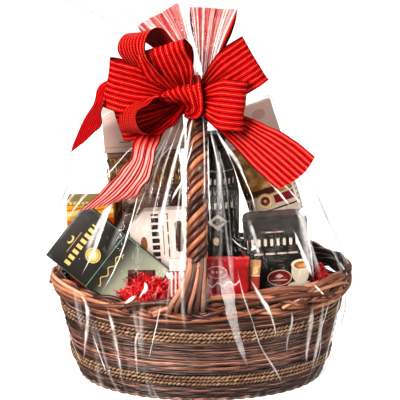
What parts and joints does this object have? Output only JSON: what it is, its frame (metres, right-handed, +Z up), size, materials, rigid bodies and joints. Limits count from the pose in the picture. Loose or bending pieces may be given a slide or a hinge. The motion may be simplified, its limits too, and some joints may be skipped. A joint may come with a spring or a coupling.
{
  "type": "gourmet gift basket",
  "caption": "Oval wicker gift basket with a twisted arch handle, food packs on red paper shred, clear film gathered over the handle and a striped ribbon bow.",
  "frame": {"origin": "middle of the basket's oval base, on the surface it stands on", "axes": "+Z up; X along the oval's length, +X to the right seen from the front; -Y is the front, where the bow is; the handle arches over in the YZ plane"},
  "size_m": [0.4154, 0.337, 0.5455],
  "materials": {
    "wicker": "split willow stained red brown, satin, darker in the weave",
    "handle_cane": "round canes stained red brown, satin",
    "rope": "twisted tan sea-grass rope, matt",
    "charcoal_card": "printed card, satin, charcoal and sage with gold print",
    "gold_card": "printed card, gold and red orange, satin",
    "snack_film": "printed film bag with a window, glossy",
    "cookie_card": "pale pinkish white card with dark print",
    "pasta_film": "clear film bag over golden brown pasta, glossy",
    "header_card": "pinkish beige card header, matt",
    "tall_bag_film": "printed film bag, golden brown and cream, glossy",
    "coffee_foil": "black foil brick with cream print, satin",
    "red_film": "glossy red film pack with white print",
    "tan_film": "small tan film pack, glossy",
    "striped_card": "white card with red stripes",
    "bottle_glass": "near-black green glass with printed marks",
    "cap_plastic": "black screw cap, satin",
    "paper_shred": "red crinkle-cut paper, matt",
    "clear_film": "clear cellophane, glossy, with bright creases",
    "ribbon": "red woven ribbon with dotted gold and thin dark lines, wired edges"
  },
  "bodies": {
    "root": {"basket_wall": "wicker", "rope_band_lower": "rope", "rope_band_upper": "rope", "rim_braid": "wicker", "handle": "handle_cane", "chocolate_box": "charcoal_card", "gold_box": "gold_card", "snack_bag": "snack_film", "cookie_box": "cookie_card", "pasta_bag": "pasta_film", "pasta_bag_header": "header_card", "tall_bag": "tall_bag_film", "tall_bag_header": "header_card", "coffee_brick": "coffee_foil", "biscuit_pack": "red_film", "tan_pack": "tan_film", "striped_pack": "striped_card", "oil_bottle": "bottle_glass", "bottle_cap": "cap_plastic", "shred_heap": "paper_shred", "film_wrap": "clear_film", "bow": "ribbon"}
  },
  "joints": []
}
